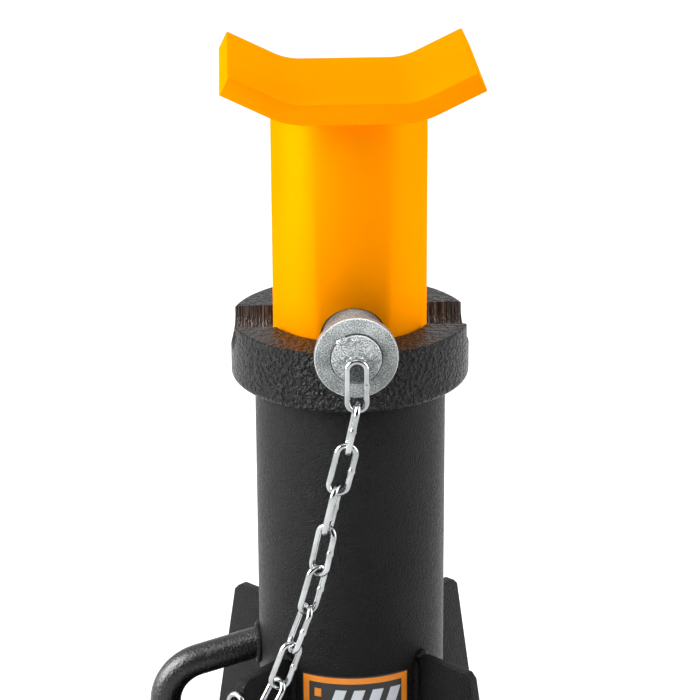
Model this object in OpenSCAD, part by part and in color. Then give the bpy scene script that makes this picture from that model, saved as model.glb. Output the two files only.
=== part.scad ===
// Pin-type axle stand: a welded tubular stand with a sliding post, a bent saddle plate,
// and a cross pin kept on a short chain.
// The origin is the centre of the underside of the base plate. The pin head faces -Y.

/* [Base] */
// Side of the square base plate
base_w = 240; // [230:1:280]
// Thickness of the base plate
base_t = 10; // [8:1:14]
// Size of the clipped corners of the base plate
base_clip = 30; // [10:1:45]

/* [Column] */
// Outer diameter of the column tube
column_d = 95; // [93:0.5:100]
// Length of the column tube between base plate and collar
column_h = 300; // [290:1:320]
// Bore of the column tube and of the collar
column_bore = 79; // [78:0.5:81]

/* [Collar] */
// Outer diameter of the collar
collar_d = 118; // [112:1:122]
// Height of the collar
collar_h = 30; // [28:1:36]
// Width of the two crossing grooves that hold the pin
groove_w = 32.5; // [32:0.25:34]
// Radius of the two rounded corners at the bottom of a groove
groove_corner = 10; // [8:0.5:12]

/* [Gussets] */
// Height of the gusset tops above the floor
gusset_top = 169; // [164:1:180]
// Plate thickness of the gussets
gusset_t = 6; // [5:0.5:8]
// Distance from the axis to the top outer corner of a gusset
gusset_top_r = 82; // [78:1:84]
// Distance from the axis to the foot of a gusset
gusset_foot_r = 111; // [106:1:116]

/* [Carrying handle] */
// Diameter of the handle bar
handle_d = 16; // [12:1:18]
// Distance from the axis to the middle of the grip
handle_reach = 97; // [92:1:104]
// Height of the upper end of the handle at the column
handle_top = 162; // [158:1:166]
// Height of the lower end of the handle at the column
handle_bottom = 48; // [36:1:60]
// Slope of the two legs of the handle, in degrees
handle_slope = 17; // [10:1:22]
// Bend radius of the handle, measured to the middle of the bar
handle_bend = 25; // [18:1:28]

/* [Label] */
// Height of the top edge of the label
label_top = 164; // [150:1:170]
// Height of the label
label_h = 62; // [40:1:70]
// Angle that the label covers on the column, in degrees
label_angle = 68; // [50:1:80]

/* [Post and saddle] */
// Outer diameter of the post
post_d = 76; // [75:0.5:77]
// Bore of the post
post_bore = 60; // [56:1:64]
// Height of the underside of the saddle with the stand at its lowest
post_top = 449; // [440:1:470]
// Height of the lower end of the post with the stand at its lowest
post_bottom = 15; // [12:1:30]
// Diameter of the cross holes in the post
hole_d = 32; // [31.5:0.25:32.5]
// Distance between the cross holes
hole_pitch = 63.5; // [60:0.5:65]
// Number of cross holes
hole_count = 5; // [3:1:5]
// Thickness of the saddle plate
saddle_t = 10; // [8:1:12]
// Length of the saddle plate along the axle
saddle_l = 92; // [84:1:100]
// Width of the flat floor of the saddle
saddle_floor = 44; // [40:1:50]
// Distance between the tips of the saddle, at their upper edge
saddle_w = 116; // [110:1:124]
// Inner bend radius of the saddle
saddle_bend = 30; // [26:1:34]
// Angle of the raised ends of the saddle, in degrees
saddle_angle = 26; // [22:1:30]

/* [Locking pin] */
// Diameter of the pin
pin_d = 30; // [29.5:0.25:30.5]
// Height of the middle of the pin above the top of the collar
pin_rise = 1; // [0:0.25:1.5]
// Distance that the pin reaches past the axis at its free end
pin_reach = 68; // [64:1:72]
// Diameter of the turned end that carries the head washer
spigot_d = 24; // [20:1:26]
// Diameter of the head washer
washer_d = 40; // [38:1:44]
// Thickness of the head washer
washer_t = 5; // [4:0.5:6]

/* [Chain] */
// Diameter of the chain wire
wire_d = 3; // [2.5:0.1:3.1]
// Distance from link to link
link_pitch = 21.5; // [21:0.1:21.8]
// Outer width of a link
link_w = 12; // [11.6:0.1:12.4]

/* [Hidden] */

$fn = 96;
// Margin by which cutters reach past the faces they cut
over = 1;
// Free space left between parts of different bodies that bear on each other
play = 0.3;

column_r = column_d / 2;
column_top = base_t + column_h;
collar_top = column_top + collar_h;

pin_z = collar_top + pin_rise;
groove_floor = pin_z - pin_d / 2 - play;
hole_z = pin_z - (hole_d - pin_d) / 2 + play;

// Outline of the +X side of a groove across the collar, from its floor up past the collar
corner_steps = 12;
GROOVE_SIDE = concat(
    [
        for (i = [0 : corner_steps])
        let (a = i * 90 / corner_steps)
        [
            groove_w / 2 - groove_corner * (1 - sin(a)),
            groove_floor + groove_corner * (1 - cos(a))
        ]
    ],
    [[groove_w / 2, collar_top + over]]
);

// Outline of the +X side of the saddle in the XZ plane, for one face of the plate: the
// bend at radius r from its middle, then the straight raised end
saddle_steps = 12;
saddle_bend_x = saddle_floor / 2;
saddle_bend_z = post_top + saddle_t + saddle_bend;
saddle_wing = (saddle_w / 2 - saddle_bend_x - saddle_bend * sin(saddle_angle)) / cos(saddle_angle);
function saddle_side(r) = concat(
    [
        for (i = [0 : saddle_steps])
        let (a = i * saddle_angle / saddle_steps)
        [saddle_bend_x + r * sin(a), saddle_bend_z - r * cos(a)]
    ],
    [[
        saddle_bend_x + r * sin(saddle_angle) + saddle_wing * cos(saddle_angle),
        saddle_bend_z - r * cos(saddle_angle) + saddle_wing * sin(saddle_angle)
    ]]
);
function reversed(list) = [for (i = [len(list) - 1 : -1 : 0]) list[i]];
function other_side(list) = [for (p = list) [-p[0], p[1]]];

// The head washer stands just clear of the collar
washer_gap = 2;
washer_y = -(collar_d / 2 + washer_gap);
washer_front_y = washer_y - washer_t;
spigot_proud = 1.5;
spigot_front_y = washer_front_y - spigot_proud;
pin_chamfer = 2;

// Clips and chamfers of the gusset plates
gusset_corner = 3;
gusset_foot_h = 8;

label_t = 0.4;

// Middle line of the upper half of the handle, in the XZ plane, with the handle's mid
// height at zero: each ring is [x, z, angle of the ring's outward direction]. The first
// ring lies inside the column, which cuts the bar off at its surface
bar_sides = 20;
bend_steps = 8;
leg_angle = 90 + handle_slope;
half_h = (handle_top - handle_bottom) / 2;
corner_z = half_h - (handle_reach - column_r) * tan(handle_slope);
bend_z = corner_z - handle_bend * tan((90 - handle_slope) / 2);
HANDLE_UPPER = concat(
    [[handle_d - column_r, half_h + handle_d * tan(handle_slope), leg_angle]],
    [
        for (i = [0 : bend_steps])
        let (a = leg_angle + i * (180 - leg_angle) / bend_steps)
        [handle_bend - handle_reach + handle_bend * cos(a), bend_z + handle_bend * sin(a), a]
    ]
);

// The same ring mirrored to the lower half of the handle
function flip(ring) = [ring[0], -ring[1], 360 - ring[2]];

// Point number j of a ring of the bar
function bar_point(ring, j) =
    let (a = j * 360 / bar_sides, r = handle_d / 2)
    [
        ring[0] + r * cos(a) * cos(ring[2]),
        r * sin(a),
        ring[1] + r * cos(a) * sin(ring[2])
    ];

// Link joints have a little end play
link_play = 0.4;
link_inner = link_pitch + link_play;
link_side = (link_w - wire_d) / 2;
link_straight = link_inner + wire_d - 2 * link_side;

// The link welded to the pin head hangs with its middle this far below the middle of the pin
first_link_drop = 13;
// First joint of the chain, at the lower end of that link
chain_y = spigot_front_y - wire_d / 2;
chain_start = [0, chain_y, pin_z - first_link_drop - link_pitch / 2];

// How links 2 to 10 hang: the angle from straight down, the heading that the link leans
// towards (0 is -X, positive turns to -Y) and the twist about the link's own length
LINK_HANG = [
    [12, 0, 90],
    [14, 0, 0],
    [13, 0, 68],
    [12, 0, 140],
    [15, 0, 210],
    [20, 0, 110],
    [20, 0, 15],
    [30, 23, 103],
    [72, 6, 29]
];
// The last two hanging links turn sharply, which draws their joints closer together
taut_links = 7;
turn_shortening = 0.9;
turned_pitch = link_pitch - turn_shortening;

// Height of the middle of the last link, which is welded to the front left gusset
anchor_z = 150;

// Unit vector along a hanging link
function hang_dir(h) = [
    -sin(h[0]) * cos(h[1]),
    -sin(h[0]) * sin(h[1]),
    -cos(h[0])
];

// Chain joint number k, counted from the joint under the welded first link
function chain_joint(k) =
    k == 0
        ? chain_start
        : chain_joint(k - 1)
            + (k > taut_links ? turned_pitch : link_pitch) * hang_dir(LINK_HANG[k - 1]);

module base_plate() {
    half = base_w / 2;
    inner = half - base_clip;
    color("#2b2c2e")
    linear_extrude(base_t)
    polygon([
        [inner, -half], [half, -inner], [half, inner], [inner, half],
        [-inner, half], [-half, inner], [-half, -inner], [-inner, -half]
    ]);
}

module column_tube() {
    color("#2b2c2e")
    translate([0, 0, base_t])
    difference() {
        cylinder(d = column_d, h = column_h);
        translate([0, 0, -over])
        cylinder(d = column_bore, h = column_h + 2 * over);
    }
}

// Ring with two grooves that cross at right angles, so that the pin drops in either way
module collar() {
    color("#323335")
    difference() {
        translate([0, 0, column_top])
        cylinder(d = collar_d, h = collar_h);
        translate([0, 0, column_top - over])
        cylinder(d = column_bore, h = collar_h + 2 * over);
        for (turn = [0, 90])
            rotate([0, 0, turn])
            rotate([90, 0, 0])
            linear_extrude(collar_d + 2 * over, center = true)
            polygon(concat(GROOVE_SIDE, reversed(other_side(GROOVE_SIDE))));
    }
}

// Upright plate in the radial plane at the given angle about the axis
module gusset(angle) {
    color("#2b2c2e")
    difference() {
        rotate([0, 0, angle])
        rotate([90, 0, 0])
        linear_extrude(gusset_t, center = true)
        polygon([
            [column_r - over, base_t],
            [gusset_foot_r, base_t],
            [gusset_foot_r, base_t + gusset_foot_h],
            [gusset_top_r, gusset_top - gusset_corner],
            [gusset_top_r - gusset_corner, gusset_top],
            [column_r - over, gusset_top]
        ]);
        cylinder(d = column_d, h = gusset_top + over);
    }
}

// Bent round bar, swept through rings that stand square to its middle line
module carry_handle() {
    rings = concat(HANDLE_UPPER, [for (ring = reversed(HANDLE_UPPER)) flip(ring)]);
    last = len(rings) - 1;
    points = [for (ring = rings) for (j = [0 : bar_sides - 1]) bar_point(ring, j)];
    sides = [
        for (i = [0 : last - 1])
        for (j = [0 : bar_sides - 1])
        let (k = (j + 1) % bar_sides)
        [i * bar_sides + j, (i + 1) * bar_sides + j, (i + 1) * bar_sides + k, i * bar_sides + k]
    ];
    caps = [
        [for (j = [0 : bar_sides - 1]) j],
        [for (j = [bar_sides - 1 : -1 : 0]) last * bar_sides + j]
    ];
    color("#2b2c2e")
    difference() {
        translate([0, 0, (handle_top + handle_bottom) / 2])
        polyhedron(points, concat(caps, sides));
        cylinder(d = column_d, h = column_top);
    }
}

// Thin curved plate on the front of the column
module label_plate() {
    color("#1c1c1e")
    rotate([0, 0, 270 - label_angle / 2])
    rotate_extrude(angle = label_angle)
    translate([column_r, label_top - label_h])
    square([label_t, label_h]);
}

// Space above the bent underside of the saddle, which the top of the post is fitted to
module saddle_underside_space() {
    underside = saddle_side(saddle_bend + saddle_t);
    block_z = post_top + 3 * saddle_t;
    tip_x = underside[len(underside) - 1][0];
    rotate([90, 0, 0])
    linear_extrude(saddle_l, center = true)
    polygon(concat(
        underside,
        [[tip_x, block_z], [-tip_x, block_z]],
        reversed(other_side(underside))
    ));
}

module post_tube() {
    color("#f2960a")
    difference() {
        translate([0, 0, post_bottom])
        cylinder(d = post_d, h = post_top + saddle_t - post_bottom);
        translate([0, 0, post_bottom - over])
        cylinder(d = post_bore, h = post_top + saddle_t - post_bottom + 2 * over);
        saddle_underside_space();
        for (k = [0 : hole_count - 1])
            translate([0, 0, hole_z - k * hole_pitch])
            rotate([90, 0, 0])
            cylinder(d = hole_d, h = post_d + 2 * over, center = true);
    }
}

module saddle_plate() {
    underside = saddle_side(saddle_bend + saddle_t);
    seat = saddle_side(saddle_bend);
    color("#f2960a")
    rotate([90, 0, 0])
    linear_extrude(saddle_l, center = true)
    polygon(concat(
        underside,
        reversed(seat),
        other_side(seat),
        reversed(other_side(underside))
    ));
}

module pin_shaft() {
    shaft_l = pin_reach - washer_y - pin_chamfer;
    color("#c4c8ca")
    translate([0, spigot_front_y, pin_z])
    rotate([-90, 0, 0]) {
        cylinder(d = spigot_d, h = washer_y - spigot_front_y);
        translate([0, 0, washer_y - spigot_front_y]) {
            cylinder(d = pin_d, h = shaft_l);
            translate([0, 0, shaft_l])
            cylinder(d1 = pin_d, d2 = pin_d - 2 * pin_chamfer, h = pin_chamfer);
        }
    }
}

module pin_washer() {
    color("#cfd3d4")
    translate([0, washer_front_y, pin_z])
    rotate([-90, 0, 0])
    difference() {
        cylinder(d = washer_d, h = washer_t);
        translate([0, 0, -over])
        cylinder(d = spigot_d, h = washer_t + 2 * over);
    }
}

// Oval link of round wire, long way along Z and flat in the XZ plane
module chain_link() {
    $fn = 32;
    color("#d2d5d6") {
        for (side = [-1, 1])
            translate([side * link_side, 0, -link_straight / 2])
            cylinder(d = wire_d, h = link_straight);
        for (end = [0, 1])
            mirror([0, 0, end])
            translate([0, 0, link_straight / 2])
            rotate([90, 0, 0])
            rotate_extrude(angle = 180)
            translate([link_side, 0])
            circle(d = wire_d);
    }
}

// Link number n, hanging between two chain joints
module hanging_link(n) {
    h = LINK_HANG[n - 2];
    translate((chain_joint(n - 2) + chain_joint(n - 1)) / 2)
    rotate([0, 0, h[1]])
    rotate([0, h[0], 0])
    rotate([0, 0, h[2]])
    chain_link();
}

// First link, welded by its upper end to the middle of the pin head
module welded_link() {
    translate(chain_start + [0, 0, link_pitch / 2])
    chain_link();
}

// Last link, welded flat to the outer edge of the front left gusset
module anchor_link() {
    slope = atan((gusset_foot_r - gusset_top_r)
        / (gusset_top - gusset_corner - base_t - gusset_foot_h));
    edge_r = gusset_top_r + (gusset_top - gusset_corner - anchor_z) * tan(slope);
    rotate([0, 0, 225])
    translate([edge_r + wire_d / 2 / cos(slope), 0, anchor_z])
    rotate([0, -slope, 0])
    rotate([0, 0, 90])
    chain_link();
}

base_plate();
column_tube();
collar();
gusset(225);  // gusset_front_left
gusset(315);  // gusset_front_right
gusset(135);  // gusset_rear_left
gusset(45);  // gusset_rear_right
carry_handle();
label_plate();
post_tube();
saddle_plate();
pin_shaft();
pin_washer();
welded_link();  // chain_link_01
hanging_link(2);  // chain_link_02
hanging_link(3);  // chain_link_03
hanging_link(4);  // chain_link_04
hanging_link(5);  // chain_link_05
hanging_link(6);  // chain_link_06
hanging_link(7);  // chain_link_07
hanging_link(8);  // chain_link_08
hanging_link(9);  // chain_link_09
hanging_link(10);  // chain_link_10
anchor_link();  // chain_link_11
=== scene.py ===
"""The looks of a pin-type axle stand: black welded stand, orange post with a bent saddle, and a
zinc-plated pin on a chain. Every length is in metres."""
import math
import random

import bmesh
import bpy
import numpy as np
from mathutils import Matrix, Vector, noise


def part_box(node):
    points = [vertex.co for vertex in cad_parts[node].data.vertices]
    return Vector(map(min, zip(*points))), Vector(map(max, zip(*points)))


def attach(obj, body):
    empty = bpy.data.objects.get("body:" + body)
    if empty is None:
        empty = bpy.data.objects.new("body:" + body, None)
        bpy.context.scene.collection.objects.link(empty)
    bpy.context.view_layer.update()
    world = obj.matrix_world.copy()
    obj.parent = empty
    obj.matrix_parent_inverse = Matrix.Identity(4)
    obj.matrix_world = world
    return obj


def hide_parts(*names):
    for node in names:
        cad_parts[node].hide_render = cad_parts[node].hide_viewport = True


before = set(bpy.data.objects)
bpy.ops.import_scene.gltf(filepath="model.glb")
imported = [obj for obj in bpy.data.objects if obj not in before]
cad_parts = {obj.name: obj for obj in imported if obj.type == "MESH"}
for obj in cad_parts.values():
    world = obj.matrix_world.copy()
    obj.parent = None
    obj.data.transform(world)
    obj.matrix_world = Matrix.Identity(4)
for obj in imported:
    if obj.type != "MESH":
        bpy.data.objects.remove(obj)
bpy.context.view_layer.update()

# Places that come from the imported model
column_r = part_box("column_tube")[1].x
column_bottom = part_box("column_tube")[0].z
collar_low, collar_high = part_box("collar")
collar_r = collar_high.x
post_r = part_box("post_tube")[1].x
washer_low, washer_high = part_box("pin_washer")
pin_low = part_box("pin_shaft")[0]
pin_z = (washer_low.z + washer_high.z) / 2
saddle_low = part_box("saddle_plate")[0]
label_low, label_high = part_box("label_plate")
handle_low, handle_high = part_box("carry_handle")
gusset_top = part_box("gusset_front_left")[1].z

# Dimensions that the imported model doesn't give directly
BORE_R = 0.0395
GROOVE_HALF = 0.01625
GROOVE_CORNER = 0.010
GROOVE_GAP = 0.0003
HANDLE_R = 0.008
HANDLE_HALF_RISE = 0.057
HANDLE_SLOPE = math.radians(17)
HANDLE_BEND = 0.025
HANDLE_EMBED = 0.004
GUSSET_HALF_T = 0.003
GUSSET_FOOT_R = 0.111
WIRE_R = 0.0015
LINK_SIDE = 0.0045
LINK_STRAIGHT = 0.0159
SADDLE_FLOOR_HALF = 0.022
SADDLE_OUTER_BEND = 0.040
SPIGOT_R = 0.012
LABEL_T = 0.0004

# Weld beads: radii, the step and ripple along a bead, and how far its middle is off a surface
GUSSET_BEAD_R = 0.0021
FOOT_BEAD_R = 0.0025
HEAVY_BEAD_R = 0.0030
HANDLE_BEAD_R = 0.0019
SADDLE_BEAD_R = 0.0017
SEAM_BEAD_R = 0.0006
BEAD_STEP = 0.0007
RIPPLE = 0.0034
RIPPLE_SPREAD = 0.0008
BEAD_OFF = 0.0006

# Label layers: how far the underside and each print stand off the column, and their mesh size
PANEL_BASE = 0.0001
FILM_PROUD = 0.00022
FRAME_SIDE_PROUD = 0.00033
PRINT_PROUD = 0.00034
BARS_PROUD = 0.00036
LABEL_CELL = 0.0012

# The lump of a link's closing weld: half its length, its height and the rest of the wire,
# both as shares of the wire's radius
CLOSING_WELD = 0.0011
WELD_LUMP = 0.26
WIRE_SHARE = 0.985

# Mesh clean-up: points nearer than this are one, and edges between these angles get rounded
MERGE_DIST = 2e-6
FLAT_DEG = 0.3
SHARP_DEG = 28

GUSSET_ANGLES = {"front_left": 225, "front_right": 315, "rear_left": 135, "rear_right": 45}
LINK_BODIES = {
    "chain_link_01": "pin",
    "chain_link_11": "stand",
    **{f"chain_link_{n:02d}": "chain_upper" for n in (2, 3)},
    **{f"chain_link_{n:02d}": "chain_middle" for n in (4, 5, 6, 7, 8)},
    **{f"chain_link_{n:02d}": "chain_lower" for n in (9, 10)},
}


# ---------------------------------------------------------------- materials


class Nodes:
    """A material's node tree, with short calls to add and join nodes."""

    def __init__(self, name):
        self.material = bpy.data.materials.new(name)
        self.material.use_nodes = True
        self.tree = self.material.node_tree
        self.shader = self.tree.nodes["Principled BSDF"]

    def add(self, kind, **settings):
        node = self.tree.nodes.new(kind)
        for key, value in settings.items():
            setattr(node, key, value)
        return node

    def join(self, output, socket):
        self.tree.links.new(output, socket)

    def place(self):
        return self.add("ShaderNodeTexCoord").outputs["Object"]

    def noise(self, scale, detail=3.0, roughness=0.55, stretch=(1, 1, 1)):
        """Noise from 0 to 1, with scale in features per metre."""
        mapping = self.add("ShaderNodeMapping")
        mapping.inputs["Scale"].default_value = stretch
        self.join(self.place(), mapping.inputs["Vector"])
        node = self.add("ShaderNodeTexNoise")
        node.inputs["Scale"].default_value = scale
        node.inputs["Detail"].default_value = detail
        node.inputs["Roughness"].default_value = roughness
        self.join(mapping.outputs["Vector"], node.inputs["Vector"])
        return node.outputs["Fac"]

    def ramp(self, value, low, high, start=0.0, end=1.0):
        """value taken from the range low..high to start..end, clamped."""
        node = self.add("ShaderNodeMapRange")
        for socket, number in zip(("From Min", "From Max", "To Min", "To Max"), (low, high, start, end)):
            node.inputs[socket].default_value = number
        self.join(value, node.inputs["Value"])
        return node.outputs["Result"]

    def mix(self, factor, first, second):
        """A colour between first and second, each a colour or another node's output."""
        node = self.add("ShaderNodeMix", data_type="RGBA")
        self.join(factor, node.inputs["Factor"])
        for index, value in ((6, first), (7, second)):
            if isinstance(value, tuple):
                node.inputs[index].default_value = (*value, 1)
            else:
                self.join(value, node.inputs[index])
        return node.outputs[2]

    def math(self, operation, first, second):
        node = self.add("ShaderNodeMath", operation=operation)
        for socket, value in zip(node.inputs, (first, second)):
            if isinstance(value, (int, float)):
                socket.default_value = value
            else:
                self.join(value, socket)
        return node.outputs["Value"]

    def edges(self, radius):
        """1 along the sharp edges and 0 on the faces."""
        bevel = self.add("ShaderNodeBevel", samples=4)
        bevel.inputs["Radius"].default_value = radius
        geometry = self.add("ShaderNodeNewGeometry")
        dot = self.add("ShaderNodeVectorMath", operation="DOT_PRODUCT")
        self.join(bevel.outputs["Normal"], dot.inputs[0])
        self.join(geometry.outputs["Normal"], dot.inputs[1])
        return self.ramp(dot.outputs["Value"], 0.985, 0.86)

    def bumps(self, *layers):
        """Stacks bump layers, each (height, distance in metres, strength)."""
        normal = None
        for height, distance, strength in layers:
            bump = self.add("ShaderNodeBump")
            bump.inputs["Distance"].default_value = distance
            bump.inputs["Strength"].default_value = strength
            self.join(height, bump.inputs["Height"])
            if normal:
                self.join(normal, bump.inputs["Normal"])
            normal = bump.outputs["Normal"]
        self.join(normal, self.shader.inputs["Normal"])

    def set(self, **values):
        for key, value in values.items():
            socket = self.shader.inputs[key.replace("_", " ")]
            if isinstance(value, (int, float, tuple)):
                socket.default_value = value
            else:
                self.join(value, socket)
        return self.material


def black_paint(name, wrinkle_scale, wrinkle_depth, roughness, gloss, highlight_peak=0.0085):
    """Black enamel with a wrinkle whose crests carry a painted highlight, worn pale along the edges."""
    n = Nodes(name)
    tone = n.mix(n.ramp(n.noise(28), 0.35, 0.65), (0.0034, 0.0035, 0.0036), (0.0066, 0.0067, 0.0069))
    wrinkle = n.ramp(n.noise(wrinkle_scale, detail=2.5), 0.38, 0.62)
    # Painted highlight: the wrinkle's crests are lighter than its valleys.
    crest_highlight = n.mix(n.ramp(wrinkle, 0.55, 1.0), tone, (highlight_peak, highlight_peak, 1.02 * highlight_peak))
    patch = n.ramp(n.noise(160), 0.5, 0.7)
    worn = n.math("MULTIPLY", n.edges(0.0007), n.math("MULTIPLY", patch, 0.55))
    colour = n.mix(worn, crest_highlight, (0.16, 0.16, 0.165))
    n.bumps((n.noise(260, detail=2), 0.0004, 0.2), (wrinkle, wrinkle_depth, 1.0))
    rough = n.ramp(n.noise(420), 0.3, 0.7, roughness - 0.06, roughness + 0.08)
    return n.set(Base_Color=colour, Roughness=rough, Specular_IOR_Level=gloss)


def orange_paint(name):
    """Smooth orange-yellow enamel with a faint orange peel and rubbed edges."""
    n = Nodes(name)
    tone = n.mix(n.ramp(n.noise(9, detail=2), 0.35, 0.65), (1.0, 0.305, 0.0), (1.0, 0.288, 0.0))
    rubbed = n.math("MULTIPLY", n.edges(0.0008), n.ramp(n.noise(220), 0.52, 0.7))
    colour = n.mix(n.math("MULTIPLY", rubbed, 0.35), tone, (0.62, 0.19, 0.004))
    n.bumps((n.noise(120, detail=2), 0.0003, 0.15), (n.noise(700, detail=2), 0.00006, 0.35))
    rough = n.ramp(n.noise(90), 0.3, 0.7, 0.40, 0.50)
    return n.set(Base_Color=colour, Roughness=rough, Metallic=0.06, Specular_IOR_Level=0.0,
                 Specular_Tint=(1.0, 0.6, 0.1, 1.0))


def zinc(name, dull, bright, roughness, speckle, depth):
    """Bright zinc plating with a grainy spangle, dull patches and a painted highlight along the edges."""
    n = Nodes(name)
    grain = n.noise(1500, detail=4, roughness=0.75)
    patches = n.ramp(n.noise(90, detail=3), 0.38, 0.62)
    plated = n.mix(patches, dull, bright)
    dark = n.math("MULTIPLY", n.ramp(grain, 0.49, 0.40), speckle)
    light = n.math("MULTIPLY", n.ramp(grain, 0.54, 0.64), speckle)
    spotted = n.mix(dark, plated, tuple(0.3 * value for value in dull))
    spangled = n.mix(light, spotted, (0.58, 0.60, 0.60))
    # Painted highlight: the colour is paler along the sharp edges.
    colour = n.mix(n.edges(0.0009), spangled, (0.9, 0.92, 0.93))
    n.bumps((n.noise(380, detail=3), 0.0003, 0.3), (grain, depth, 1.0))
    rough = n.ramp(n.noise(240, detail=3), 0.3, 0.7, roughness - 0.07, roughness + 0.1)
    return n.set(Base_Color=colour, Roughness=rough, Metallic=1.0)


def print_or_shade_film(name, colour, other):
    """Smooth print, or a dark coat of painted shade, with a little unevenness of tone and gloss."""
    n = Nodes(name)
    tone = n.mix(n.ramp(n.noise(70), 0.35, 0.65), colour, other)
    n.bumps((n.noise(500, detail=2), 0.00005, 0.3))
    rough = n.ramp(n.noise(150), 0.3, 0.7, 0.3, 0.42)
    return n.set(Base_Color=tone, Roughness=rough, Specular_IOR_Level=0.35)


def cut_wall_paint(name):
    """Black enamel over a rough cut wall, with a painted highlight as paler upright streaks on its ridges.
    """
    n = Nodes(name)
    streak = n.noise(1500, detail=3, stretch=(1, 1, 0.05))
    # Painted highlight: the ridges of the upright streaks are paler.
    tone = n.mix(n.ramp(streak, 0.52, 0.66), (0.004, 0.004, 0.004), (0.10, 0.106, 0.112))
    n.bumps((streak, 0.0005, 0.9), (n.noise(1200), 0.00015, 0.5))
    rough = n.ramp(n.noise(420), 0.3, 0.7, 0.3, 0.48)
    return n.set(Base_Color=tone, Roughness=rough, Specular_IOR_Level=0.5)


BLACK = black_paint("black_satin", 1200, 0.0003, 0.34, 0.095)
BLACK_WRINKLE = black_paint("black_wrinkle", 460, 0.0014, 0.27, 0.15, highlight_peak=0.018)
BLACK_BAR = black_paint("black_bar", 900, 0.0001, 0.26, 0.4)
CUT_WALL = cut_wall_paint("black_cut_wall")
ORANGE = orange_paint("orange_enamel")
ZINC = zinc("zinc_plating", (0.15, 0.165, 0.162), (0.26, 0.28, 0.278), 0.36, 0.9, 0.0018)
WELD_ZINC = zinc("zinc_over_weld", (0.10, 0.105, 0.105), (0.22, 0.23, 0.23), 0.26, 0.6, 0.0012)
# Painted shade: a dark coat for the shade in the seam round the pin's spigot.
SEAM_SHADE = print_or_shade_film("head_seam_painted_shade", (0.010, 0.010, 0.010), (0.022, 0.021, 0.020))
CHAIN_ZINC = zinc("chain_zinc_plating", (0.30, 0.31, 0.315), (0.42, 0.435, 0.44), 0.11, 0.0, 0.00003)
FILM = print_or_shade_film("label_black", (0.012, 0.012, 0.014), (0.018, 0.018, 0.02))
FILM_ORANGE = print_or_shade_film("label_orange", (0.85, 0.26, 0.004), (0.78, 0.22, 0.004))
FILM_PALE = print_or_shade_film("label_pale", (0.62, 0.65, 0.70), (0.54, 0.57, 0.62))


# ---------------------------------------------------------------- mesh helpers


def make_piece(name, bm, materials, body, smooth_deg=32.0):
    """Turns a bmesh into a piece that rides on a body, smooth except at its sharp edges."""
    bmesh.ops.recalc_face_normals(bm, faces=bm.faces)
    mesh = bpy.data.meshes.new(name)
    bm.to_mesh(mesh)
    bm.free()
    for material in materials:
        mesh.materials.append(material)
    mesh.polygons.foreach_set("use_smooth", [True] * len(mesh.polygons))
    mesh.set_sharp_from_angle(angle=math.radians(smooth_deg))
    piece = bpy.data.objects.new(name, mesh)
    bpy.context.scene.collection.objects.link(piece)
    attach(piece, body)
    return piece


def finished_copy(node, material, body, edge):
    """A copy of a CAD node with its sharp edges rounded, which stands for the node."""
    bm = bmesh.new()
    bm.from_mesh(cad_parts[node].data)
    bmesh.ops.remove_doubles(bm, verts=bm.verts, dist=MERGE_DIST)
    bmesh.ops.dissolve_limit(bm, angle_limit=math.radians(FLAT_DEG), verts=bm.verts, edges=bm.edges)
    least = math.radians(SHARP_DEG)
    sharp = [e for e in bm.edges if len(e.link_faces) == 2 and e.calc_face_angle(0) > least]
    bmesh.ops.bevel(
        bm, geom=sharp, offset=edge, segments=2, profile=0.5, affect="EDGES", clamp_overlap=True
    )
    piece = make_piece(f"{node}_finished", bm, [material], body)
    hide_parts(node)


def tube(bm, path, radius, sides, closed=False):
    """Adds a round tube along a path. radius is a number or a function of the ring's number."""
    points = [Vector(p) for p in path]
    count = len(points)
    rings = []
    normal = None
    for i, point in enumerate(points):
        before = points[i - 1] if closed or i else point
        after = points[(i + 1) % count] if closed or i < count - 1 else point
        along = (after - before).normalized()
        if normal is None:
            helper = Vector((0, 0, 1)) if abs(along.z) < 0.9 else Vector((1, 0, 0))
            normal = along.cross(helper).normalized()
        normal = (normal - along * normal.dot(along)).normalized()
        other = along.cross(normal)
        r = radius(i) if callable(radius) else radius
        rings.append([
            bm.verts.new(point + r * (math.cos(a) * normal + math.sin(a) * other))
            for a in (2 * math.pi * j / sides for j in range(sides))
        ])
    spans = count if closed else count - 1
    shift = ring_shift(rings[-1], rings[0]) if closed else 0
    for i in range(spans):
        first, second = rings[i], rings[(i + 1) % count]
        turn = shift if closed and i == count - 1 else 0
        for j in range(sides):
            k = (j + 1) % sides
            bm.faces.new((first[j], first[k], second[(k + turn) % sides], second[(j + turn) % sides]))
    if not closed:
        bm.faces.new(list(reversed(rings[0])))
        bm.faces.new(rings[-1])


def ring_shift(last, first):
    """The number of steps by which the first ring is turned against the last one."""
    sides = len(first)

    def gap(steps):
        return sum((last[j].co - first[(j + steps) % sides].co).length for j in range(sides))

    return min(range(sides), key=gap)


def bead(bm, path, radius, seed, closed=False):
    """Adds a weld bead: overlapping ripples along a path, uneven in size."""
    random.seed(seed)
    points = [Vector(p) for p in path]
    length = sum((b - a).length for a, b in zip(points, points[1:]))
    steps = max(8, round(length / BEAD_STEP))
    dense = resample(points, steps, closed)
    ripple = RIPPLE + RIPPLE_SPREAD * random.random()

    def size(i):
        """A ring's radius: it swells along each ripple, wanders, and tapers at an open end."""
        s = i * length / steps
        saw = (s / ripple) % 1.0
        end = 1.0 if closed else min(1.0, 0.35 + 0.65 * min(i, len(dense) - 1 - i) / 6)
        wander = noise.noise(Vector((seed * 3.1, s * 130, 0.5)))
        return radius * end * (0.88 + 0.16 * math.sin(math.pi * saw) ** 0.7 + 0.14 * wander)

    tube(bm, dense, size, sides=12, closed=closed)


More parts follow.
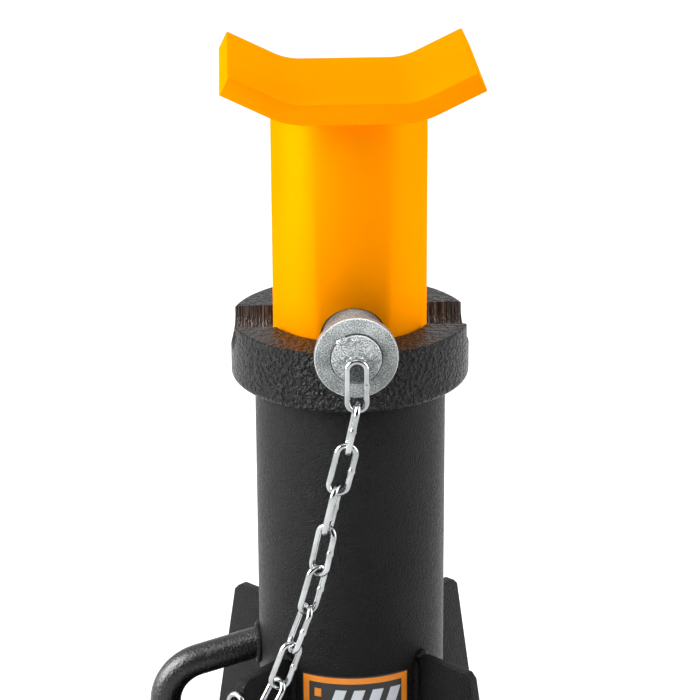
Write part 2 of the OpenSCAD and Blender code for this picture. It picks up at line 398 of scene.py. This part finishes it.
def resample(points, steps, closed):
    """Points at even distances along a polyline."""
    line = points + [points[0]] if closed else points
    lengths = [0.0]
    for a, b in zip(line, line[1:]):
        lengths.append(lengths[-1] + (b - a).length)
    total = lengths[-1]
    out, k = [], 0
    for i in range(steps if closed else steps + 1):
        s = total * i / steps
        while k < len(line) - 2 and lengths[k + 1] < s:
            k += 1
        span = lengths[k + 1] - lengths[k] or 1e-9
        out.append(line[k].lerp(line[k + 1], min(1.0, (s - lengths[k]) / span)))
    return out


def circle(radius, z, steps=120):
    """Points round the Z axis."""
    return [(radius * math.cos(a), radius * math.sin(a), z) for a in
            (2 * math.pi * i / steps for i in range(steps))]


def revolve(bm, profile, steps):
    """Adds a closed ring swept from a closed (radius, height) profile round the Z axis."""
    rings = []
    for i in range(steps):
        a = 2 * math.pi * i / steps
        rings.append([bm.verts.new((r * math.cos(a), r * math.sin(a), z)) for r, z in profile])
    for i in range(steps):
        first, second = rings[i], rings[(i + 1) % steps]
        for j in range(len(profile)):
            k = (j + 1) % len(profile)
            bm.faces.new((first[j], first[k], second[k], second[j]))


def rounded(corner, start_deg, radius, steps=4):
    """Points of a quarter round in a profile: its centre, its first angle and its radius."""
    return [
        (corner[0] + radius * math.cos(a), corner[1] + radius * math.sin(a))
        for a in (math.radians(start_deg + 90 * i / steps) for i in range(steps + 1))
    ]


# ---------------------------------------------------------------- stand


def collar_piece():
    """The grooved ring: rounded rims, two crossing grooves with cut, streaky walls."""
    z0, z1 = collar_low.z, collar_high.z
    rim, foot, smooth_deg = 0.0009, 0.0030, 38
    profile = (
        rounded((BORE_R + rim, z0 + rim), 180, rim)
        + rounded((collar_r - foot, z0 + foot), 270, foot, steps=8)
        + rounded((collar_r - rim, z1 - rim), 0, rim)
        + rounded((BORE_R + rim, z1 - rim), 90, rim)
    )
    bm = bmesh.new()
    revolve(bm, profile, 256)
    piece = make_piece("collar_finished", bm, [BLACK_WRINKLE, CUT_WALL], "stand")
    for turn in (0, 90):
        cutter = groove_cutter(turn)
        cut = piece.modifiers.new("groove", "BOOLEAN")
        cut.operation, cut.solver, cut.object = "DIFFERENCE", "EXACT", cutter
        cut.material_mode = "TRANSFER"
        apply_modifiers(piece)
        bpy.data.objects.remove(cutter)
    drop_scraps(piece)
    piece.data.set_sharp_from_angle(angle=math.radians(smooth_deg))
    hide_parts("collar")


def groove_cutter(turn):
    """A long solid with the groove's section, whose sides waver as a cut wall does."""
    floor = pin_low.z - GROOVE_GAP
    past, step, corner_steps = 0.003, 0.0003, 8
    reach = collar_r + past
    outline = []
    for i in range(corner_steps + 1):
        a = math.pi / 2 * i / corner_steps
        outline.append((
            GROOVE_HALF - GROOVE_CORNER * (1 - math.sin(a)),
            floor + GROOVE_CORNER * (1 - math.cos(a)),
            math.sin(a),
        ))
    outline.append((GROOVE_HALF, collar_high.z + past, 1.0))
    section = outline + [(-y, z, -n) for y, z, n in reversed(outline)]
    bm = bmesh.new()
    rings = []
    for i in range(round(2 * reach / step) + 1):
        x = -reach + i * step
        coarse = noise.noise(Vector((x * 650, turn, 0.3)))
        fine = noise.noise(Vector((x * 1500, turn, 4.7)))
        waver = 0.0005 * abs(coarse) + 0.0006 * abs(fine)
        rings.append([bm.verts.new((x, y + n * waver, z)) for y, z, n in section])
    for first, second in zip(rings, rings[1:]):
        for j in range(len(section)):
            k = (j + 1) % len(section)
            bm.faces.new((first[j], first[k], second[k], second[j]))
    bm.faces.new(list(reversed(rings[0])))
    bm.faces.new(rings[-1])
    bmesh.ops.recalc_face_normals(bm, faces=bm.faces)
    bmesh.ops.rotate(bm, cent=(0, 0, 0), matrix=Matrix.Rotation(math.radians(turn), 3, "Z"), verts=bm.verts)
    mesh = bpy.data.meshes.new("groove_cutter")
    bm.to_mesh(mesh)
    bm.free()
    mesh.materials.append(CUT_WALL)
    cutter = bpy.data.objects.new("groove_cutter", mesh)
    bpy.context.scene.collection.objects.link(cutter)
    return cutter


def apply_modifiers(piece):
    """Replaces the piece's mesh with what its modifiers make of it."""
    graph = bpy.context.evaluated_depsgraph_get()
    made = bpy.data.meshes.new_from_object(piece.evaluated_get(graph))
    piece.modifiers.clear()
    piece.data = made


def drop_scraps(piece):
    """Joins points that lie on each other, deletes the scraps that a cut leaves loose, and
    splits faces of more than four corners."""
    bm = bmesh.new()
    bm.from_mesh(piece.data)
    bmesh.ops.remove_doubles(bm, verts=bm.verts, dist=MERGE_DIST)
    bmesh.ops.dissolve_degenerate(bm, edges=bm.edges, dist=MERGE_DIST)
    loose = set(bm.verts)
    groups = []
    while loose:
        group, frontier = set(), [loose.pop()]
        while frontier:
            vert = frontier.pop()
            group.add(vert)
            near = [e.other_vert(vert) for e in vert.link_edges]
            frontier += [v for v in near if v in loose]
            loose.difference_update(near)
        groups.append(group)
    largest = max(groups, key=len)
    bmesh.ops.delete(bm, geom=[v for v in bm.verts if v not in largest], context="VERTS")
    bmesh.ops.holes_fill(bm, edges=[e for e in bm.edges if e.is_boundary], sides=8)
    many_sided = [f for f in bm.faces if len(f.verts) > 4]
    bmesh.ops.triangulate(bm, faces=many_sided, quad_method="BEAUTY", ngon_method="EAR_CLIP")
    # A face of four corners with an edge across it is split the other way, so that no edge is double
    for face in [f for f in bm.faces if len(f.verts) == 4]:
        a, b, c, d = face.verts
        if bm.edges.get((a, c)):
            bmesh.utils.face_split(face, b, d)
        elif bm.edges.get((b, d)):
            bmesh.utils.face_split(face, a, c)
    bm.to_mesh(piece.data)
    bm.free()


def handle_path():
    """Middle line of the bent bar, from inside the column's wall at the top to the bottom."""
    mid_z = (handle_low.z + handle_high.z) / 2
    reach = -(handle_low.x + HANDLE_R)
    corner_z = HANDLE_HALF_RISE - (reach - column_r) * math.tan(HANDLE_SLOPE)
    bend_z = corner_z - HANDLE_BEND * math.tan((math.pi / 2 - HANDLE_SLOPE) / 2)
    inside = column_r - HANDLE_EMBED
    half = [(-inside, HANDLE_HALF_RISE + HANDLE_EMBED * math.tan(HANDLE_SLOPE))]
    steps = 20
    for i in range(steps + 1):
        a = math.pi / 2 + HANDLE_SLOPE + i * (math.pi / 2 - HANDLE_SLOPE) / steps
        half.append((HANDLE_BEND - reach + HANDLE_BEND * math.cos(a), bend_z + HANDLE_BEND * math.sin(a)))
    both = half + [(x, -z) for x, z in reversed(half)]
    return [Vector((x, 0, mid_z + z)) for x, z in both]


def handle_piece():
    """The bent round bar."""
    bm = bmesh.new()
    tube(bm, resample(handle_path(), steps=150, closed=False), HANDLE_R, sides=36)
    piece = make_piece("carry_handle_finished", bm, [BLACK_BAR], "stand")
    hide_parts("carry_handle")


def handle_welds():
    """A fillet bead round each end of the handle, on the column's surface."""
    path = handle_path()
    steps = 60
    for name, start, after, seed in (("upper", path[0], path[1], 11), ("lower", path[-1], path[-2], 12)):
        along = (after - start).normalized()
        side = Vector((0, 1, 0))
        up = along.cross(side)
        ring = []
        for i in range(steps):
            a = 2 * math.pi * i / steps
            p = start + (HANDLE_R + BEAD_OFF) * (math.cos(a) * side + math.sin(a) * up)
            reach = math.sqrt(column_r ** 2 - p.y ** 2)
            ring.append(p + along * (-reach - p.x - 0.0005) / along.x)
        bm = bmesh.new()
        bead(bm, ring, HANDLE_BEAD_R, seed, closed=True)
        make_piece(f"handle_weld_{name}", bm, [BLACK], "stand")


def gusset_welds():
    """Beads along both sides of every gusset, up the column and out along the base."""
    for count, (place, degrees) in enumerate(GUSSET_ANGLES.items()):
        a = math.radians(degrees)
        out, side = Vector((math.cos(a), math.sin(a), 0)), Vector((-math.sin(a), math.cos(a), 0))
        bm = bmesh.new()
        for sign in (-1, 1):
            shift = side * sign * (GUSSET_HALF_T + BEAD_OFF)
            at_column = out * (column_r + 0.0002) + shift
            low = at_column + Vector((0, 0, column_bottom + 0.001))
            high = at_column + Vector((0, 0, gusset_top - 0.002))
            bead(bm, [low, high], GUSSET_BEAD_R, seed=20 + 4 * count + sign)
            foot = shift + Vector((0, 0, column_bottom + 0.0004))
            near, far = out * (column_r + 0.002) + foot, out * (GUSSET_FOOT_R - 0.003) + foot
            bead(bm, [near, far], FOOT_BEAD_R, seed=40 + 4 * count + sign)
        top = Vector((0, 0, gusset_top + 0.0004))
        across = [out * (column_r + 0.0008) + side * s * (GUSSET_HALF_T + 0.001) + top for s in (-1, 1)]
        bead(bm, across, HEAVY_BEAD_R, seed=60 + count)
        make_piece(f"gusset_weld_{place}", bm, [BLACK], "stand")


def ring_welds():
    """Beads right round the column, at the base plate and under the collar."""
    for name, z, seed in (
        ("column_foot_weld", column_bottom + BEAD_OFF, 71),
        ("collar_weld", collar_low.z - 0.0005, 72),
    ):
        bm = bmesh.new()
        bead(bm, circle(column_r + 0.0008, z), HEAVY_BEAD_R, seed, closed=True)
        make_piece(name, bm, [BLACK], "stand")


# ---------------------------------------------------------------- label


def label_panel(bm, left, right, low, high, proud, slant=0.0):
    """Adds a thin curved panel on the column. left and right run round the column's front."""
    columns = max(2, round((right - left) / LABEL_CELL))
    rows = max(1, round((high - low) / LABEL_CELL)) if slant else 1
    layers = []
    for r in (column_r + PANEL_BASE, column_r + proud):
        layers.append([])
        for j in range(rows + 1):
            z = low + (high - low) * j / rows
            row = [left + (right - left) * i / columns + slant * j / rows for i in range(columns + 1)]
            angles = [x / column_r for x in row]
            layers[-1].append([bm.verts.new((r * math.sin(a), -r * math.cos(a), z)) for a in angles])
    for grid in layers:
        for below, above in zip(grid, grid[1:]):
            for i in range(columns):
                bm.faces.new((below[i], below[i + 1], above[i + 1], above[i]))
    inner, outer = (rim_of(grid) for grid in layers)
    for i in range(len(inner)):
        bm.faces.new((inner[i - 1], inner[i], outer[i], outer[i - 1]))


def rim_of(grid):
    """The points round the edge of a grid, in order."""
    right = [row[-1] for row in grid[1:-1]]
    left = [row[0] for row in reversed(grid[1:-1])]
    return grid[0] + right + list(reversed(grid[-1])) + left


def label_pieces():
    """A black film with an orange frame, slanted pale bars, an orange mark and two plain lines."""
    low, high = label_low.z, label_high.z
    half = column_r * math.asin(min(1.0, label_high.x / (column_r + LABEL_T)))
    edge, border = 0.0008, 0.0032
    bar, gap, slant, bar_count, bar_inset = 0.0056, 0.0038, 0.0055, 4, 0.0085
    band_drop, band_end, mark_height = 0.0035, 0.0195, 0.0045
    mark_start, mark_end, line_inset = 0.003, 0.0065, 0.004
    pale_line, orange_line = (0.012, 0.0155), (0.019, 0.0215)

    bm = bmesh.new()
    label_panel(bm, -half, half, low, high, FILM_PROUD)
    film = make_piece("label_film", bm, [FILM], "stand")
    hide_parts("label_plate")

    bm = bmesh.new()
    left, right, bottom, top = -half + edge, half - edge, low + edge, high - edge
    label_panel(bm, left, right, top - border, top, PRINT_PROUD)
    label_panel(bm, left, right, bottom, bottom + border, PRINT_PROUD)
    for x in (left, right - border):
        label_panel(bm, x, x + border, bottom + border / 2, top - border / 2, FRAME_SIDE_PROUD)
    make_piece("label_frame", bm, [FILM_ORANGE], "stand")

    bm = bmesh.new()
    band_top, band_low = top - border - band_drop, top - border - band_end
    start = left + border + bar_inset
    for i in range(bar_count):
        x = start + i * (bar + gap)
        label_panel(bm, x, x + bar, band_low, band_top, BARS_PROUD, slant)
    line_left, line_right = left + border + line_inset, right - border - line_inset
    label_panel(bm, line_left, line_right, bottom + pale_line[0], bottom + pale_line[1], PRINT_PROUD)
    make_piece("label_pale_bars", bm, [FILM_PALE], "stand")

    bm = bmesh.new()
    mark_left, mark_right = left + border + mark_start, left + border + mark_end
    label_panel(bm, mark_left, mark_right, band_top - mark_height, band_top, PRINT_PROUD)
    label_panel(bm, line_left, line_right, bottom + orange_line[0], bottom + orange_line[1], PRINT_PROUD)
    make_piece("label_orange_marks", bm, [FILM_ORANGE], "stand")


# ---------------------------------------------------------------- post and pin


def saddle_weld():
    """A painted fillet where the post meets the bent underside of the saddle."""
    ring = []
    flat_z = saddle_low.z
    steps = 160
    for i in range(steps):
        a = 2 * math.pi * i / steps
        x, y = (post_r + BEAD_OFF) * math.cos(a), (post_r + BEAD_OFF) * math.sin(a)
        past = max(0.0, abs(x) - SADDLE_FLOOR_HALF)
        z = flat_z + SADDLE_OUTER_BEND - math.sqrt(SADDLE_OUTER_BEND ** 2 - past ** 2)
        ring.append((x, y, z - 0.0004))
    bm = bmesh.new()
    bead(bm, ring, SADDLE_BEAD_R, seed=81, closed=True)
    make_piece("saddle_weld", bm, [ORANGE], "post")


def weld_blob(name, centre, radii, seed, body, material, turn=0.0):
    """A small uneven lump of weld."""
    bm = bmesh.new()
    bmesh.ops.create_icosphere(bm, subdivisions=4, radius=1.0)
    spin = Matrix.Rotation(turn, 3, "Y")
    for v in bm.verts:
        lump = 1 + 0.45 * noise.noise(v.co * 1.7 + Vector((seed, 0, 0))) + 0.2 * noise.noise(v.co * 4.1)
        v.co = Vector(centre) + spin @ Vector([v.co[k] * radii[k] * lump for k in range(3)])
    make_piece(name, bm, [material], body, smooth_deg=70)


def pin_welds():
    """The weld on the pin's head, the one that holds the first link, and the washer's seam, a thin ring of
    painted shade.
    """
    face_y = pin_low.y
    weld_blob("head_weld", (-0.0068, face_y + 0.0008, pin_z + 0.0092), (0.0036, 0.0016, 0.0014),
              3.0, "pin", WELD_ZINC, turn=math.radians(-14))
    weld_blob("head_weld_tail", (-0.0015, face_y + 0.0006, pin_z + 0.0090), (0.0040, 0.0011, 0.0011),
              8.0, "pin", WELD_ZINC, turn=math.radians(-18))
    top = (0, face_y - 0.0002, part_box("chain_link_01")[1].z - 0.0008)
    weld_blob("first_link_weld", top, (0.0042, 0.0015, 0.0020), 5.5, "pin", ZINC)
    steps = 90
    # Painted shade: the seam bead is dark, standing for the shade in the groove round the spigot.
    seam = [(SPIGOT_R * math.cos(a), washer_low.y - 0.0001, pin_z + SPIGOT_R * math.sin(a))
            for a in (2 * math.pi * i / steps for i in range(steps))]
    bm = bmesh.new()
    bead(bm, seam, SEAM_BEAD_R, seed=91, closed=True)
    make_piece("head_seam", bm, [SEAM_SHADE], "pin")


# ---------------------------------------------------------------- chain


def link_frame(node):
    """Middle of a link, with its wide and long directions, measured on the CAD mesh."""
    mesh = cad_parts[node].data
    corners = np.array([v.co[:] for v in mesh.vertices])
    mesh.calc_loop_triangles()
    triangles = corners[np.array([t.vertices[:] for t in mesh.loop_triangles])]
    sides = triangles[:, 1] - triangles[:, 0], triangles[:, 2] - triangles[:, 0]
    areas = np.linalg.norm(np.cross(*sides), axis=1)
    middles = triangles.mean(axis=1)
    centre = (middles * areas[:, None]).sum(0) / areas.sum()
    spread = ((middles - centre) * areas[:, None]).T @ (middles - centre)
    wide, along = (Vector(v) for v in np.linalg.eigh(spread)[1].T[1:])
    if along.z < 0:
        along = -along
    if wide.x < 0:
        wide = -wide
    return Vector(centre), wide, along


def chain_links():
    """Smooth oval links of round wire, with the lump of the closing weld on one leg."""
    legs, bend = 14, 16
    for node, body in LINK_BODIES.items():
        centre, wide, along = link_frame(node)
        path, at_weld = [], []
        for side in (1, -1):
            for i in range(legs):
                z = side * LINK_STRAIGHT * (i / legs - 0.5)
                path.append((side * LINK_SIDE, z))
                at_weld.append(math.exp(-((z / CLOSING_WELD) ** 2)) if side > 0 else 0.0)
            for i in range(bend):
                a = math.pi * i / bend
                x, z = LINK_SIDE * math.cos(a), LINK_STRAIGHT / 2 + LINK_SIDE * math.sin(a)
                path.append((side * x, side * z))
                at_weld.append(0.0)
        bm = bmesh.new()
        points = [centre + wide * x + along * z for x, z in path]
        tube(bm, points, lambda i: WIRE_R * (WIRE_SHARE + WELD_LUMP * at_weld[i]), sides=20, closed=True)
        piece = make_piece(f"{node}_finished", bm, [CHAIN_ZINC], body, smooth_deg=60)
        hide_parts(node)


def anchor_weld():
    """The weld that holds the last link to the front left gusset."""
    centre, _, along = link_frame("chain_link_11")
    inward = Vector((1, 1, 0)).normalized()
    for number, step in enumerate((-0.0035, 0.0035)):
        place = centre + along * step + inward * 0.0008
        weld_blob(f"anchor_weld_{number + 1}", place, (0.0042, 0.0030, 0.0028), 2.0 + number, "stand",
                  BLACK)


# ---------------------------------------------------------------- stage


def area_light(name, place, target, size, power, glossy_only=False):
    """A rectangular soft light. A glossy_only one shows in reflections and lights nothing else."""
    light = bpy.data.lights.new(name, "AREA")
    light.shape, light.size, light.size_y = "RECTANGLE", size[0], size[1]
    light.energy = power
    lamp = bpy.data.objects.new(name, light)
    lamp.visible_diffuse = not glossy_only
    lamp.location = place
    lamp.rotation_euler = (Vector(target) - Vector(place)).to_track_quat("-Z", "Y").to_euler()
    bpy.context.scene.collection.objects.link(lamp)


def pale_floor():
    bm = bmesh.new()
    bmesh.ops.create_grid(bm, x_segments=8, y_segments=8, size=20.0)
    mesh = bpy.data.meshes.new("floor")
    bm.to_mesh(mesh)
    bm.free()
    n = Nodes("pale_floor")
    white = n.mix(n.noise(2), (0.92, 0.92, 0.92), (0.95, 0.95, 0.95))
    n.set(Base_Color=white, Roughness=0.9, Specular_IOR_Level=0.0,
          Emission_Color=white, Emission_Strength=0.25)
    mesh.materials.append(n.material)
    floor = bpy.data.objects.new("floor", mesh)
    bpy.context.scene.collection.objects.link(floor)


def surround():
    """A white surround that is dim in front of the object and bright behind it."""
    world = bpy.data.worlds.new("surround")
    bpy.context.scene.world = world
    world.use_nodes = True
    tree = world.node_tree
    background = tree.nodes["Background"]
    place = tree.nodes.new("ShaderNodeTexCoord")
    split = tree.nodes.new("ShaderNodeSeparateXYZ")
    fade = tree.nodes.new("ShaderNodeMapRange")
    tree.links.new(place.outputs["Generated"], split.inputs["Vector"])
    tree.links.new(split.outputs["Y"], fade.inputs["Value"])
    for socket, number in (("From Min", -0.8), ("From Max", 0.0), ("To Min", 0.05), ("To Max", 1.1)):
        fade.inputs[socket].default_value = number
    tree.links.new(fade.outputs["Result"], background.inputs["Strength"])
    background.inputs["Color"].default_value = (1, 1, 1, 1)


def lights():
    """Large soft lights, with two that only show in reflections for the enamel's bright flanks."""
    middle = (0, 0, 0.3)
    area_light("key_left", (-1.6, -0.4, 1.0), middle, (1.0, 1.3), 27)
    area_light("sheen_left", (-1.6, -0.15, 0.9), middle, (1.5, 1.3), 105, glossy_only=True)
    area_light("fill_right", (1.7, 0.1, 0.8), middle, (0.6, 1.3), 15)
    area_light("sheen_right", (1.6, -0.5, 0.8), middle, (0.7, 1.3), 22, glossy_only=True)
    area_light("top", (-0.2, -0.6, 1.9), middle, (0.8, 0.8), 5)


def camera():
    """The picture's viewing angle, from the fitted distance, height and tilt."""
    azimuth, tilt, roll = math.radians(-2.65), math.radians(20.05), math.radians(-0.26)
    distance, height, sensor, lens = 1.21484, 0.76457, 36.0, 133.67
    data = bpy.data.cameras.new("camera")
    data.sensor_width, data.lens = sensor, lens
    data.clip_end = 50
    eye = bpy.data.objects.new("camera", data)
    eye.location = (math.sin(azimuth) * distance, -math.cos(azimuth) * distance, height)
    turn = Matrix.Rotation(azimuth, 3, "Z") @ Matrix.Rotation(math.pi / 2 - tilt, 3, "X")
    eye.rotation_euler = (turn @ Matrix.Rotation(roll, 3, "Z")).to_euler()
    bpy.context.scene.collection.objects.link(eye)
    bpy.context.scene.camera = eye
    bpy.context.scene.view_settings.view_transform = "Standard"


camera()
pale_floor()
surround()
lights()

for node, edge in {
    "base_plate": 0.0012,
    "column_tube": 0.0004,
    **{f"gusset_{place}": 0.0005 for place in GUSSET_ANGLES},
}.items():
    finished_copy(node, BLACK, "stand", edge)
collar_piece()
handle_piece()
handle_welds()
gusset_welds()
ring_welds()
label_pieces()
finished_copy("post_tube", ORANGE, "post", 0.0006)
finished_copy("saddle_plate", ORANGE, "post", 0.0007)
saddle_weld()
finished_copy("pin_shaft", ZINC, "pin", 0.0005)
finished_copy("pin_washer", ZINC, "pin", 0.0006)
pin_welds()
chain_links()
anchor_weld()
